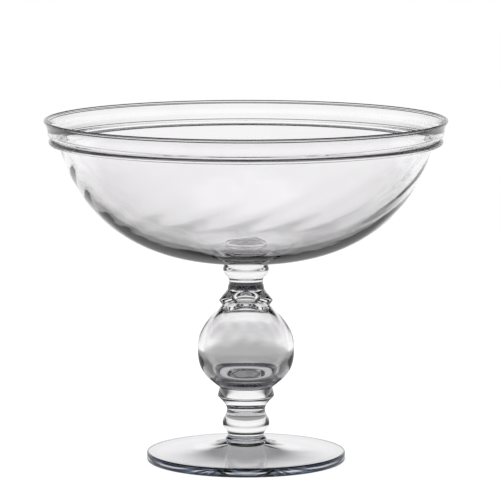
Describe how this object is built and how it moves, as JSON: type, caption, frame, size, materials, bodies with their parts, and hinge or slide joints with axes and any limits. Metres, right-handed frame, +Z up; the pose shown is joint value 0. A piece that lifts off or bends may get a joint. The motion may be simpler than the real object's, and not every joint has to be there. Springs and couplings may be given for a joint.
{
  "type": "footed compote bowl",
  "caption": "Clear glass footed compote: twist-ribbed round bowl with a stepped ledge and flared rim, on a turned stem with a hollow ball knop and a flat disc foot.",
  "frame": {"origin": "centre of the flat ring under the foot that the bowl stands on", "axes": "+Z up along the stem, which is the turning axis; -Y is the side that the picture shows"},
  "size_m": [0.27, 0.27, 0.2308],
  "materials": {
    "bowl_glass": "clear blown glass with soft ribs, fire-polished edge",
    "stem_glass": "clear solid glass, tooled smooth",
    "foot_glass": "clear glass with a cool blue-grey edge"
  },
  "bodies": {
    "root": {"foot": "foot_glass", "foot_button": "stem_glass", "lower_knop": "stem_glass", "lower_merese": "stem_glass", "ball_knop": "stem_glass", "upper_merese": "stem_glass", "bowl_knop": "stem_glass", "bowl": "bowl_glass", "collar_ring": "bowl_glass", "rim_band": "bowl_glass"}
  },
  "joints": []
}
